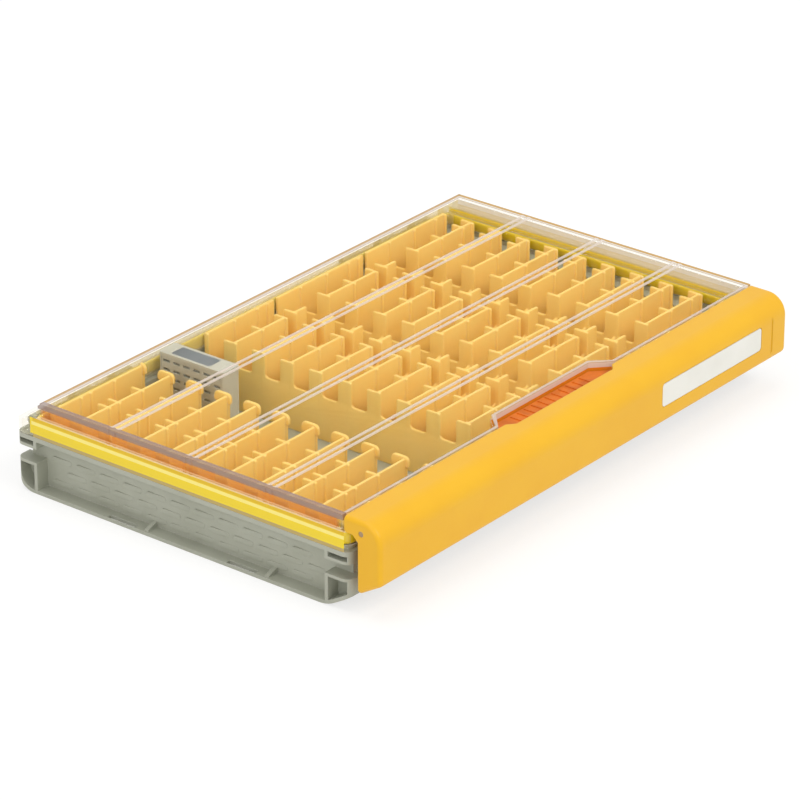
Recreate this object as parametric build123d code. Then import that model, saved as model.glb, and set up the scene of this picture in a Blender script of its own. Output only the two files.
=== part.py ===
from build123d import *
import math
import os

# Tackle utility box, in millimetres. X runs along the latch bar, Y from the latch to the hinges, Z up.
# The origin is on the standing face, below the middle of the closed box.

# Overall size
length = 356.0  # over the latch bar's end faces
depth = 245.5  # latch bar's front face to the tray's back plane
height = 54.0  # standing face to the top of the lid's ribs
tray_height = 33.0  # standing face to the parting plane of tray and lid
latch_reach = 20.5  # latch bar's front face to the tray's front plane
end_gap = 0.5  # the tray's and lid's ends stand inside the latch bar's end faces

# Tray
plan_radius = 5.0  # upright corners of tray and lid
wall = 2.0
end_recess = 8.5  # end wall behind the end plane
front_recess = 7.0  # front wall behind the front plane
back_recess = 12.8  # back wall before the back plane
flange_thickness = 2.5
floor_thickness = 2.5
floor_lift = 3.0  # underside of the floor above the standing face
foot_band = 6.0  # solid band inside the walls that the tray stands on
ledge_thickness = 2.0
front_slope = (14.3, 8.3)  # sloping lower edge towards the latch: along Y and along Z
front_slope_radius = 20.0  # where the slope leaves the standing face
back_edge_radius = 12.0  # rounded lower edge towards the hinges
bulkhead_places = (30.0, 90.0)  # upright ribs in the front and back recesses, either side of the middle
corner_front_depth = 15.7  # corner pockets, measured from the front plane
corner_back_depth = 14.5  # corner pockets, measured from the back plane
corner_wall = 2.0
upper_pocket_height = 2.8
upper_pocket_floor = 1.6
lower_pocket_top = 18.0  # top of the lower corner pocket's wall
corner_notch = 4.0  # step between the corner pockets
ledge_slot_length = 19.0
ledge_slot_width = 3.0
ledge_slot_inset = 0.5  # from the end plane
ledge_slot_places = (50.3, -30.7)
ledge_rib_offset = 17.0  # centre of the small rib beside each slot, towards the latch
ledge_rib_height = 3.4
ledge_rib_thickness = 2.6
ledge_rib_inset = 1.0  # its tip behind the end plane
ledge_rib_tip = 0.6  # its tip above the ledge
catch_half_length = 148.0
catch_reach = 5.9  # rail before the front plane
catch_low = 24.0
catch_high = 28.0
catch_lead = 2.0  # sloped lead-in on the rail's top

# Seal, its channel in the lid and the tongue below it
seal_width = 3.5
seal_low = 35.9
seal_high = 42.6
seal_inset = 1.6  # seal behind the front and end planes
seal_back_inset = 9.9  # seal before the back plane
seal_radius = 6.0  # outer corner radius
seal_clearance = 0.05
seal_edge_chamfer = 0.8
tongue_width = 1.6
tongue_gap = 0.3  # tongue's crest below the seal

# Lid
rib_height = 0.6
panel_thickness = 2.0
rim_wall = 1.6
rim_rise = 11.5  # rim roof above the parting plane
rim_roof = 1.4
lid_step = 3.9  # lid's upright front wall behind the front plane
channel_wall = 1.5
back_channel_wall = 1.2
channel_relief = 2.5  # channel walls stop above the parting plane
slope_run = 18.2  # the back slope starts this far before the back plane
slope_end_inset = 1.5
slope_end_rise = 8.2  # the back slope ends above the parting plane
hinge_space_gap = 0.5  # the hollow before the hinges ends before their axis
bead_width = 1.6  # beads are rounded to this width and the ribs' height
bead_offset = 2.1  # each bead of a pair from the pair's centre
bead_pairs = (-50.2, 2.8, 54.8)
border_width = 3.0
bead_stand = 0.4  # beads turned down over the end walls
bead_end_inset = 1.0  # beads on the panel end behind the end planes
slot_outer_half = 50.8  # thumb slot's half width at the lid's front wall
slot_inner_half = 40.3  # thumb slot's half width at its inner edge
slot_depth = 9.7  # thumb slot's inner edge behind the lid's front wall

# Hinges
knuckle_radius = 3.0
knuckle_pitch = 15.6
knuckle_count = 5
knuckle_gap = 0.3
knuckle_clearance = 0.75  # radial space round a tray knuckle in the lid
hinge_offset = 129.0  # middle of each hinge zone from the box's middle
neck_half_width = 2.0
hinge_pin_diameter = 2.4
hinge_pin_cover = 2.0  # closed end of the outer knuckles
tray_bore_clearance = 0.05
lid_bore_clearance = 0.1
lid_opening = 105.0  # degrees

# Latch bar
bar_wall = 2.2
bar_gap = 1.4  # bar's upper edge to the lid's front wall
bar_top_radius = 11.6
bar_drop = 40.7  # top to lower edge
bar_low_radius = 3.5  # between the front face and the sloping underside
bar_low_slope = 31.0  # degrees that the underside falls towards the tray
bar_lip = 13.2  # lower edge behind the bar's front face
bar_end_radius = 2.5  # rounding of the bar's ends
bar_end_edge = 14.3  # upright inner edge of the end walls behind the front face
bar_end_relief = 7.5  # end wall's height at its tip over the lid's rim
bar_end_rise = 2.0  # slope of the end walls' lower inner corner
bar_end_corner = 3.4  # cut between the upright inner edge and the part over the rim
bar_end_tip = (1.5, 1.2)  # slope under the end wall's tip, along Y and Z
pivot_setback = 12.4  # latch pivot behind the bar's front face
pivot_drop = 6.9  # latch pivot below the top
latch_pin_diameter = 3.0
latch_pin_length = 6.2
latch_pin_inset = 0.2
latch_pin_clearance = 0.05
ear_radius = 3.5
ear_thickness = 4.0
ear_gap = 0.4
ear_bore_clearance = 0.08
ear_foot_height = 7.0
hook_places = (28.0, 84.0, 140.0)
hook_thickness = 1.6
hook_gap = 0.4  # hooks to the catch rail, in height and in reach
slot_notch_outer_half = 46.5
slot_notch_inner_half = 42.0
slot_notch_depth = 3.8
label_length = 92.8
label_height = 14.0
label_centre = (107.4, 36.5)  # along X and Z
label_recess = 0.6
label_sink = 0.1  # label's face behind the bar's
label_gap = 0.3
label_radius = 2.0
vent_groove = (163.8, 24.6, 48.0)  # shallow upright groove: place along X, lower and upper end
vent_groove_width = 1.6
vent_groove_depth = 0.4

# Thumb pad
pad_drop = 4.8  # pad's face below the top
pad_thickness = 1.8
pad_tip_gap = 0.7  # pad to the thumb slot's inner edge
pad_side_gap = 1.4
pad_seat_depth = 4.0  # pad's foot under the bar's top wall
pad_rib_height = 0.5
pad_rib_width = 1.2
pad_rib_pitch = 6.0
pad_rib_count = 11
pad_rib_inset = 1.0  # ribs end before the pad's tip and the bar

# Cradle inserts
lane_pitch = 19.9  # wanted; whole lanes fill the tray
cradle_wall = 1.5
cradle_top = 45.0
cradle_gap = 0.35  # cradle to the tray's walls
arm_back = 7.0  # cross wall arms towards the hinges, from the row wall's middle
arm_front = 2.3  # cross wall arms towards the latch
notch_low = 31.0  # bottom of the notches
channel_ends = (-94.0, -43.5)  # the divider's channel between the two inserts
left_crosses = (-144.3, -136.5, -118.1)
right_module = 79.0  # cross walls repeat at this distance
right_crosses = (-42.6, -20.1, -0.5, 7.9)
short_row = 10.0  # row wall past the last cross wall of a module
post_width = 11.4
post_front = 2.9
post_head_low = 40.2
post_head_radius = 3.0
post_top = 46.2
post_thickness = 2.0
post_shoulder = 1.6
slit_places = (15.4, 93.4)
slit_width = 3.0
slit_low = 34.0
relief_side = 4.0  # cut below the lid's thumb slot, past the slot's own sides
relief_back = 2.6  # past the slot's inner edge
relief_gap = 0.6  # below the slot's floor

# Divider that holds a moisture-absorbing pad
divider_start = -83.0
divider_thickness = 13.3
divider_length = 45.5
divider_top = 49.5
divider_wall = 1.5
divider_top_wall = 2.0
divider_back_gap = 2.4
louvre_thickness = 1.5
louvre_columns = 6
louvre_rows = 8
louvre_slot = (4.6, 1.4)
wick_gap = 0.3
plate_length = 27.0
plate_width = 9.8
plate_thickness = 0.4
plate_radius = 1.0
plate_gap = 0.05
plate_shift = 2.0  # towards the hinges

# Planes that several pieces share
front_face = -depth / 2
tray_front = front_face + latch_reach
tray_back = depth / 2
tray_end = length / 2 - end_gap
tub_end = tray_end - end_recess
tub_front = tray_front + front_recess
tub_back = tray_back - back_recess
inner_end = tub_end - wall
inner_front = tub_front + wall
inner_back = tub_back - wall
floor_top = floor_lift + floor_thickness
panel_top = height - rib_height
rim_top = tray_height + rim_rise
hinge_y = tray_back - knuckle_radius
hinge_z = tray_height + knuckle_radius
pivot_y = front_face + pivot_setback
pivot_z = height - pivot_drop
lid_front = tray_front + lid_step
slot_back = lid_front + slot_depth
bar_edge = lid_front - bar_gap
seal_front = tray_front + seal_inset
seal_back = tray_back - seal_back_inset
seal_end = tray_end - seal_inset
cradle_front = inner_front + cradle_gap
cradle_back = inner_back - cradle_gap
lane_span = cradle_back - cradle_front - cradle_wall
lane_count = round(lane_span / lane_pitch)
lane_step = lane_span / lane_count


def block(x0, x1, y0, y1, z0, z1):
    """Box between two opposite corners."""
    middle = Pos((x0 + x1) / 2, (y0 + y1) / 2, (z0 + z1) / 2)
    return middle * Box(x1 - x0, y1 - y0, z1 - z0)


def both_ends(make):
    """A form at +X and its mirror image at -X."""
    form = make()
    return form + mirror(form, Plane.YZ)


def rounded_plate(half_x, y0, y1, z0, z1, radius):
    """Plate with rounded upright corners."""
    outline = RectangleRounded(2 * half_x, y1 - y0, radius)
    return extrude(Pos(0, (y0 + y1) / 2, z0) * outline, z1 - z0)


def ring(half_x, y0, y1, width, z0, z1, radius):
    """Flat ring of one width, measured from its outer outline."""
    outer = rounded_plate(half_x, y0, y1, z0, z1, radius)
    inner = rounded_plate(half_x - width, y0 + width, y1 - width, z0 - 1, z1 + 1, radius - width)
    return outer - inner


def along_x(outline, x0, x1):
    """Extrude an outline drawn in (Y, Z) from x0 to x1."""
    return extrude(Plane.YZ.offset(x0) * outline, x1 - x0)


def polygon(*points):
    """Closed outline with straight sides."""
    return make_face(Polyline(*points, close=True))


def rod(radius, x0, x1, y, z):
    """Cylinder along X."""
    return Pos((x0 + x1) / 2, y, z) * Rot(0, 90, 0) * Cylinder(radius, x1 - x0)


def trapezoid_prism(outer_half, y_outer, inner_half, y_inner, z0, z1):
    """Prism whose plan narrows from y_outer to y_inner."""
    plan = polygon(
        (-outer_half, y_outer),
        (outer_half, y_outer),
        (inner_half, y_inner),
        (-inner_half, y_inner),
    )
    return extrude(Pos(0, 0, z0) * plan, z1 - z0)


def tray_outline():
    """The tray's outline seen from its end, in (Y, Z)."""
    middle = (tray_front + tray_back) / 2
    outline = Pos(middle, tray_height / 2) * Rectangle(tray_back - tray_front, tray_height)
    run, rise = front_slope
    outline -= polygon(
        (tray_front - 1, -1),
        (tray_front + run, -1),
        (tray_front + run, 0),
        (tray_front, rise),
        (tray_front - 1, rise),
    )
    low_front = outline.vertices().group_by(Axis.Y)[0].sort_by(Axis.X)[0]
    outline = fillet(low_front, front_slope_radius)
    low_back = outline.vertices().group_by(Axis.Y)[0].sort_by(Axis.X)[-1]
    return fillet(low_back, back_edge_radius)


def tray_corner(y_plane, direction, reach):
    """Upper loop and lower pocket at one corner of the +X end; direction points into the box."""
    y_inner = y_plane + direction * reach
    low, high = sorted((y_plane, y_inner))
    upper_low = tray_height - flange_thickness - upper_pocket_height - upper_pocket_floor
    upper = block(tub_end, tray_end, low, high, upper_low, tray_height)
    upper -= block(
        tub_end,
        tray_end + 1,
        low + corner_wall,
        high - corner_wall,
        upper_low + upper_pocket_floor,
        tray_height - flange_thickness,
    )
    lower = block(tub_end, tray_end, low, high, 0, lower_pocket_top)
    pocket_top = lower_pocket_top - upper_pocket_floor
    return upper + lower - block(
        tub_end, tray_end + 1, low + corner_wall, high - corner_wall, ledge_thickness, pocket_top
    )


def tray_pocket_liner():
    """Curved skins that close the lower corner pockets along the tray's rounded lower edges."""
    outline = tray_outline()
    skin = along_x(outline, tub_end, tray_end)
    skin -= along_x(offset(outline, -corner_wall), tub_end - 1, tray_end + 1)
    span = block(tub_end, tray_end, tray_front, tray_front + corner_front_depth, 0, lower_pocket_top)
    span += block(tub_end, tray_end, tray_back - corner_back_depth, tray_back, 0, lower_pocket_top)
    return skin & span


def ledge_details():
    """Slots through the end ledge and the small ribs beside them, at the +X end."""
    outer = tray_end - ledge_slot_inset
    slots = Part()
    ribs = Part()
    for place in ledge_slot_places:
        half = ledge_slot_length / 2
        slots += block(outer - ledge_slot_width, outer, place - half, place + half, -1, ledge_thickness + 1)
        rib_outline = polygon(
            (tub_end - 1, ledge_thickness - 1),
            (tray_end - ledge_rib_inset, ledge_thickness - 1),
            (tray_end - ledge_rib_inset, ledge_thickness + ledge_rib_tip),
            (tub_end, ledge_thickness + ledge_rib_height),
            (tub_end - 1, ledge_thickness + ledge_rib_height),
        )
        rib_y = place - ledge_rib_offset + ledge_rib_thickness / 2
        ribs += extrude(Plane.XZ.offset(-rib_y) * rib_outline, ledge_rib_thickness)
    return slots, ribs


def knuckle_spans():
    """X range of each knuckle in both hinge zones, as (x0, x1, is_tray_knuckle)."""
    spans = []
    for side in (-1, 1):
        start = side * hinge_offset - knuckle_count * knuckle_pitch / 2
        for number in range(knuckle_count):
            x0 = start + number * knuckle_pitch + knuckle_gap / 2
            spans.append((x0, x0 + knuckle_pitch - knuckle_gap, number % 2 == 0))
    return spans


def pin_span(side):
    """X range of a hinge pin, inside the closed ends of its outer knuckles."""
    half = knuckle_count * knuckle_pitch / 2 - knuckle_gap / 2 - hinge_pin_cover
    return side * hinge_offset - half, side * hinge_offset + half


def tray_knuckles():
    """Knuckles that stand on the tray's flange, bored for the pins."""
    knuckles = Part()
    for x0, x1, on_tray in knuckle_spans():
        if on_tray:
            knuckles += rod(knuckle_radius, x0, x1, hinge_y, hinge_z)
            neck = block(
                x0, x1, hinge_y - neck_half_width, hinge_y + neck_half_width, tray_height - 1, hinge_z
            )
            knuckles += neck
    for side in (-1, 1):
        x0, x1 = pin_span(side)
        knuckles -= rod(hinge_pin_diameter / 2 + tray_bore_clearance, x0, x1, hinge_y, hinge_z)
    return knuckles


def catch_rail():
    """Rail on a skirt below the front flange; the latch bar's hooks pass under it."""
    rail_front = tray_front - catch_reach
    outline = polygon(
        (tray_front + wall, tray_height - 1),
        (tray_front, tray_height - 1),
        (tray_front, catch_high),
        (rail_front + catch_lead, catch_high),
        (rail_front, catch_high - catch_lead),
        (rail_front, catch_low),
        (tray_front + wall, catch_low),
    )
    return along_x(outline, -catch_half_length, catch_half_length)


def base_tray():
    """Moulded tray: tub, flange, ledge, ribs, corner pockets, tongue, catch rail and knuckles."""
    tray = block(-tub_end, tub_end, tub_front, tub_back, 0, tray_height)
    tray += rounded_plate(tray_end, tray_front, tray_back, 0, ledge_thickness, plan_radius)
    flange_low = tray_height - flange_thickness
    tray += rounded_plate(tray_end, tray_front, tray_back, flange_low, tray_height, plan_radius)
    upper_low = flange_low - upper_pocket_height - upper_pocket_floor
    for place in (*bulkhead_places, tub_end - wall / 2):
        for side in (-1, 1):
            x = side * place
            rib = block(x - wall / 2, x + wall / 2, tray_front, tray_back, 0, tray_height)
            rib -= block(
                x - wall, x + wall, tray_front - 1, tray_front + corner_notch, lower_pocket_top, upper_low
            )
            rib -= block(
                x - wall, x + wall, tray_back - corner_notch, tray_back + 1, lower_pocket_top, upper_low
            )
            tray += rib
    tray += both_ends(lambda: tray_corner(tray_front, 1, corner_front_depth))
    tray += both_ends(lambda: tray_corner(tray_back, -1, corner_back_depth))
    tray += both_ends(tray_pocket_liner)
    outline = along_x(tray_outline(), -tray_end, tray_end)
    tray &= outline & rounded_plate(tray_end, tray_front, tray_back, 0, tray_height, plan_radius)
    slots, ribs = ledge_details()
    tray += ribs + mirror(ribs, Plane.YZ)
    tray -= slots + mirror(slots, Plane.YZ)
    tray += catch_rail()
    tray -= block(-inner_end, inner_end, inner_front, inner_back, floor_top, tray_height + 1)
    foot_front = tray_front + front_slope[0]
    tray -= block(
        -inner_end + foot_band, inner_end - foot_band, foot_front + foot_band, inner_back - foot_band,
        -1, floor_lift,
    )
    side_gap = (seal_width - tongue_width) / 2
    tray += ring(
        seal_end - side_gap,
        seal_front + side_gap,
        seal_back - side_gap,
        tongue_width,
        tray_height - 1,
        seal_low - tongue_gap,
        seal_radius - side_gap,
    )
    return tray + tray_knuckles()


def hinge_pin(side):
    """Steel pin of one hinge zone."""
    x0, x1 = pin_span(side)
    return rod(hinge_pin_diameter / 2, x0, x1, hinge_y, hinge_z)


def cross_outline():
    """Cross wall seen along X, in (Y, Z): a plate with one notch over each lane."""
    middle = (cradle_front + cradle_back) / 2
    rise = cradle_top - floor_top
    outline = Pos(middle, floor_top + rise / 2) * Rectangle(cradle_back - cradle_front, rise)
    notch_width = lane_step - arm_back - arm_front
    for lane in range(lane_count):
        lane_middle = row_place(lane) + arm_back + notch_width / 2
        outline -= notch(lane_middle, notch_width, notch_low)
    return outline


def notch(middle, width, low):
    """Straight notch, open at the cradle's top, in a wall's own plane."""
    rise = cradle_top + 1 - low
    return Pos(middle, low + rise / 2) * Rectangle(width, rise)


def row_place(number):
    """Y of a row wall's middle plane; the first and last are the cradle's side walls."""
    return cradle_front + cradle_wall / 2 + number * lane_step


def row_wall(number, x0, x1, gaps):
    """Row wall along X with its notches."""
    rise = cradle_top - floor_top
    outline = Pos((x0 + x1) / 2, floor_top + rise / 2) * Rectangle(x1 - x0, rise)
    for gap_start, gap_end in gaps:
        outline -= notch((gap_start + gap_end) / 2, gap_end - gap_start, notch_low)
    return extrude(Plane.XZ.offset(-row_place(number) - cradle_wall / 2) * outline, cradle_wall)


def cradle(x0, x1, crosses, gaps):
    """One cradle insert: row walls, side walls and notched cross walls in one moulding."""
    outline = cross_outline()
    body = Part()
    for place in (x0 + cradle_wall / 2, *crosses):
        body += along_x(outline, place - cradle_wall / 2, place + cradle_wall / 2)
    for number in range(lane_count + 1):
        side_wall = number in (0, lane_count)
        body += row_wall(number, x0, x1, () if side_wall else gaps)
    return body


def insert_left():
    """Left cradle; its rows end in round-headed posts beside the channel."""
    x1 = channel_ends[0]
    body = cradle(-inner_end + cradle_gap, x1, left_crosses, ())
    for number in range(lane_count + 1):
        body += post(x1, row_place(number))
    return body & block(-length, length, cradle_front, cradle_back, 0, height)


def post(x1, y):
    """Round-headed post at the end of a row wall."""
    head_middle = y - post_front + post_width / 2
    head_height = post_top - post_head_low
    head = Pos(head_middle, post_top - head_height / 2) * Rectangle(post_width, head_height)
    head = fillet(head.vertices().group_by(Axis.Y)[-1], post_head_radius)
    stem_width = post_width - 2 * post_shoulder
    stem_height = post_head_low - floor_top
    stem = Pos(head_middle, floor_top + stem_height / 2) * Rectangle(stem_width, stem_height)
    return along_x(head + stem, x1 - post_thickness, x1)


def insert_right():
    """Right cradle; it is lowered under the lid's thumb slot."""
    x0 = channel_ends[1]
    x1 = inner_end - cradle_gap
    crosses = []
    gaps = []
    for module in range(3):
        shift = module * right_module
        crosses += [place + shift for place in right_crosses if place + shift < x1 - 2 * cradle_wall]
        half_wall = cradle_wall / 2
        gaps.append((right_crosses[2] + shift + half_wall, right_crosses[3] + shift - half_wall))
        next_module = right_crosses[0] + shift + right_module
        gaps.append((right_crosses[3] + shift + short_row, next_module - half_wall))
    crosses.append(x1 - cradle_wall / 2)
    crosses = [place for place in crosses if place > x0 + lane_pitch / 2]
    body = cradle(x0, x1, crosses, [gap for gap in gaps if gap[1] < x1 - lane_pitch / 2])
    half_slit = slit_width / 2
    for place in slit_places:
        body -= block(
            place - half_slit, place + half_slit, cradle_back - 2 * cradle_wall, cradle_back + 1,
            slit_low, cradle_top + 1,
        )
    relief_half = slot_outer_half + relief_side
    relief_low = rim_top - rim_roof - relief_gap
    return body - block(-relief_half, relief_half, tray_front, slot_back + relief_back, relief_low, height)


def divider_box():
    """Outer block of the divider as (x0, x1, y0, y1, z0, z1)."""
    y1 = inner_back - divider_back_gap
    return (
        divider_start,
        divider_start + divider_thickness,
        y1 - divider_length,
        y1,
        floor_top,
        divider_top,
    )


def divider_body():
    """Moisture holder: an open-faced box with a recess for its label plate."""
    x0, x1, y0, y1, z0, z1 = divider_box()
    body = block(x0, x1, y0, y1, z0, z1)
    body = fillet(body.edges().filter_by(Axis.Z), divider_wall)
    body -= block(
        x0 - 1, x1 - divider_wall, y0 + divider_wall, y1 - divider_wall,
        z0 + divider_wall, z1 - divider_top_wall,
    )
    return body - divider_plate_form(plate_gap)


def divider_louvre():
    """Louvred face that closes the divider, held between its walls."""
    x0, x1, y0, y1, z0, z1 = divider_box()
    y0 += divider_wall + seal_clearance
    y1 -= divider_wall + seal_clearance
    z0 += divider_wall + seal_clearance
    z1 -= divider_top_wall + seal_clearance
    face = block(x0 + plate_thickness, x0 + plate_thickness + louvre_thickness, y0, y1, z0, z1)
    column_pitch = (y1 - y0) / louvre_columns
    row_pitch = (z1 - z0) / louvre_rows
    slots = Part()
    for column in range(louvre_columns):
        for row in range(louvre_rows):
            centre_y = y0 + (column + 0.5) * column_pitch
            centre_z = z0 + (row + 0.5) * row_pitch
            slots += Pos(x0 + louvre_thickness, centre_y, centre_z) * Box(
                2 * louvre_thickness + 2, louvre_slot[0], louvre_slot[1]
            )
    return face - slots


def wick_pad():
    """Pad behind the louvred face."""
    x0, x1, y0, y1, z0, z1 = divider_box()
    return block(
        x0 + plate_thickness + louvre_thickness + wick_gap,
        x1 - divider_wall - wick_gap,
        y0 + divider_wall + wick_gap,
        y1 - divider_wall - wick_gap,
        z0 + divider_wall,
        z1 - divider_top_wall - wick_gap,
    )


def divider_plate_form(growth):
    """Label plate's form, grown on its sides for the recess."""
    x0, x1, y0, y1, z0, z1 = divider_box()
    plan = RectangleRounded(plate_width + 2 * growth, plate_length + 2 * growth, plate_radius)
    centre = Pos((x0 + x1) / 2, (y0 + y1) / 2 + plate_shift, z1 - plate_thickness)
    return extrude(centre * plan, plate_thickness)


def round_hinge(angle):
    """Point on the knuckles' radius about the hinge, in (Y, Z), at an angle above +Y."""
    return hinge_y + knuckle_radius * math.cos(angle), hinge_z + knuckle_radius * math.sin(angle)


def lid_outline():
    """The lid's outline seen from its end, in (Y, Z); its back edge is round about the hinge."""
    slope_start = tray_back - slope_run
    slope_end = (tray_back - slope_end_inset, tray_height + slope_end_rise)
    tangent = math.radians(lid_opening - 90)
    arc_start = round_hinge(tangent)
    arc_middle = round_hinge((tangent - math.pi / 2) / 2)
    arc_end = (hinge_y, tray_height)
    line = Polyline(
        arc_end,
        (tray_front, tray_height),
        (tray_front, rim_top),
        (lid_front, rim_top),
        (lid_front, panel_top),
        (slope_start, panel_top),
        slope_end,
        arc_start,
    )
    return make_face(line + ThreePointArc(arc_start, arc_middle, arc_end))


def back_slope():
    """The back slope's fall over its run along Y."""
    return (panel_top - tray_height - slope_end_rise) / (slope_run - slope_end_inset)


def slope_inside(y):
    """Height of the back slope's inner face at a given Y."""
    inside = panel_thickness * math.hypot(back_slope(), 1)
    return panel_top - (y - tray_back + slope_run) * back_slope() - inside


def lid_cavities():
    """Spaces inside the lid: the main hollow, the hollow before the hinges, and the seal's channel."""
    roof_low = rim_top - rim_roof
    hollow_half = seal_end - seal_width - channel_wall
    hollow_front = seal_front + seal_width + channel_wall
    hollow_back = seal_back - seal_width - back_channel_wall
    hollow_radius = seal_radius - seal_width - channel_wall
    cavity = rounded_plate(
        hollow_half, hollow_front, hollow_back, tray_height - 1, rim_top, hollow_radius
    )
    ceiling = panel_top - panel_thickness
    upper = polygon(
        (lid_front + panel_thickness, rim_top),
        (lid_front + panel_thickness, ceiling),
        (tray_back - slope_run - panel_thickness * math.tan(math.atan(back_slope()) / 2), ceiling),
        (hollow_back, slope_inside(hollow_back)),
        (hollow_back, rim_top),
    )
    cavity += along_x(upper, -seal_end, seal_end)
    pocket_front = seal_back + rim_wall
    pocket_back = hinge_y - hinge_space_gap
    back_pocket = polygon(
        (pocket_front, tray_height - 1),
        (pocket_front, slope_inside(pocket_front)),
        (pocket_back, slope_inside(pocket_back)),
        (pocket_back, tray_height - 1),
    )
    cavity += along_x(back_pocket, -seal_end, seal_end)
    cavity += ring(seal_end, seal_front, seal_back, seal_width, tray_height - 1, roof_low, seal_radius)
    relief_top = tray_height + channel_relief
    return cavity + block(-seal_end, seal_end, seal_front, pocket_back, tray_height - 1, relief_top)


def thumb_slot(growth, z0, z1):
    """Prism of the thumb slot, from the lid's front wall inwards."""
    return trapezoid_prism(
        slot_outer_half + growth, lid_front, slot_inner_half + growth, slot_back + growth, z0, z1
    )


def lid_beads():
    """Beads on the lid's top, a border round its panel, and the bead ends over the end walls."""
    slope_start = tray_back - slope_run
    low = panel_top - panel_thickness / 2
    bead_radius = (bead_width**2 / 4 + rib_height**2) / (2 * rib_height)
    border = block(-tray_end, tray_end, lid_front, slope_start, low, height)
    border -= block(
        -tray_end + border_width, tray_end - border_width,
        lid_front + bead_width, slope_start - border_width,
        low - 1, height + 1,
    )
    border += thumb_slot(bead_width, low, height)
    beads = border
    for pair in bead_pairs:
        for side in (-1, 1):
            y = pair + side * bead_offset
            bead_end = tray_end - bead_end_inset
            beads += rod(bead_radius, -bead_end, bead_end, y, height - bead_radius)
            for end in (-1, 1):
                x0, x1 = sorted((end * bead_end, end * (tray_end + bead_stand)))
                beads += block(x0, x1, y - bead_width / 2, y + bead_width / 2, rim_top, panel_top)
    return beads


def latch_ear():
    """Ear at the lid's +X end that carries the latch pin."""
    x1 = length / 2 - bar_wall - ear_gap
    foot = polygon(
        (tray_front + rim_wall / 2, rim_top),
        (tray_front - 0.1, rim_top),
        (tray_front - 0.1, rim_top - ear_foot_height),
        (tray_front + rim_wall / 2, rim_top - ear_foot_height),
    )
    boss = Pos(pivot_y, pivot_z) * Circle(ear_radius)
    outline = make_hull(boss.edges() + foot.edges())
    ear = along_x(outline, x1 - ear_thickness, x1)
    bore = latch_pin_diameter / 2 + ear_bore_clearance
    return ear - rod(bore, x1 - ear_thickness - 1, x1 + 1, pivot_y, pivot_z)


def lid_shell():
    """Clear moulded lid with its seal channel, thumb slot, beads, ears and hinge knuckles."""
    lid = along_x(lid_outline(), -tray_end, tray_end)
    envelope = lid & rounded_plate(tray_end, tray_front, tray_back, tray_height, panel_top, plan_radius)
    lid = envelope - lid_cavities()
    roof_low = rim_top - rim_roof
    lid += thumb_slot(panel_thickness, roof_low, panel_top)
    for x0, x1, on_tray in knuckle_spans():
        if not on_tray:
            fill = block(x0, x1, hinge_y - knuckle_radius, hinge_y, hinge_z, rim_top)
            fill += rod(knuckle_radius, x0, x1, hinge_y, hinge_z)
            lid += fill & envelope
    for x0, x1, on_tray in knuckle_spans():
        if on_tray:
            reach = knuckle_radius + knuckle_clearance
            x0 -= knuckle_gap
            x1 += knuckle_gap
            lid -= rod(reach, x0, x1, hinge_y, hinge_z)
            lid -= block(x0, x1, hinge_y - reach, tray_back + 1, tray_height - 1, hinge_z)
    for side in (-1, 1):
        x0, x1 = pin_span(side)
        lid -= rod(hinge_pin_diameter / 2 + lid_bore_clearance, x0, x1, hinge_y, hinge_z)
    lid += lid_beads()
    lid -= thumb_slot(0, rim_top, height + 1)
    return lid + both_ends(latch_ear)


def lid_seal():
    """Soft seal ring in the lid's channel, with its lower edges cut for the tongue."""
    seal = ring(
        seal_end - seal_clearance,
        seal_front + seal_clearance,
        seal_back - seal_clearance,
        seal_width - 2 * seal_clearance,
        seal_low,
        seal_high,
        seal_radius,
    )
    return chamfer(seal.edges().group_by(Axis.Z)[0], seal_edge_chamfer)


def bar_outline(inset):
    """The latch bar's outer outline in (Y, Z), drawn inwards by inset, as a list of edges."""
    front = front_face + inset
    top = height - inset
    top_radius = bar_top_radius - inset
    low_radius = bar_low_radius - inset
    top_centre = (front_face + bar_top_radius, height - bar_top_radius)
    slope = math.radians(bar_low_slope)
    lip_low = height - bar_drop + inset / math.cos(slope)
    corner_low = height - bar_drop + bar_lip * math.tan(slope)
    low_centre = (
        front_face + bar_low_radius,
        corner_low + bar_low_radius * (1 - math.sin(slope)) / math.cos(slope),
    )
    half_turn = (math.pi / 2 + slope) / 2
    arc_end = (
        low_centre[0] - low_radius * math.sin(slope),
        low_centre[1] - low_radius * math.cos(slope),
    )
    reach = math.sqrt(0.5)
    return [
        Line((bar_edge, top), (top_centre[0], top)),
        ThreePointArc(
            (top_centre[0], top),
            (top_centre[0] - top_radius * reach, top_centre[1] + top_radius * reach),
            (front, top_centre[1]),
        ),
        Line((front, top_centre[1]), (front, low_centre[1])),
        ThreePointArc(
            (front, low_centre[1]),
            (
                low_centre[0] - low_radius * math.sin(half_turn),
                low_centre[1] - low_radius * math.cos(half_turn),
            ),
            arc_end,
        ),
        Line(arc_end, (front_face + bar_lip, lip_low)),
    ]


def bar_shell_outline():
    """The bar's wall in section."""
    lip = front_face + bar_lip
    low = height - bar_drop
    closing = [
        Line((lip, low), (lip, low + bar_wall / math.cos(math.radians(bar_low_slope)))),
        Line((bar_edge, height - bar_wall), (bar_edge, height)),
    ]
    return make_face(Curve() + bar_outline(0) + bar_outline(bar_wall) + closing)


def bar_end_outline():
    """The bar's end wall, cut away over the lid's rim."""
    lip = front_face + bar_lip
    edge = front_face + bar_end_edge
    low = height - bar_drop
    relief = height - bar_end_relief
    tip_reach, tip_rise = bar_end_tip
    inner = Polyline(
        (lip, low),
        (edge, low + bar_end_rise),
        (edge, relief - tip_rise - bar_end_corner),
        (edge + bar_end_corner, relief - tip_rise),
        (bar_edge - tip_reach, relief - tip_rise),
        (bar_edge, relief),
        (bar_edge, height),
    )
    return make_face(Curve() + bar_outline(0) + [inner])


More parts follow.
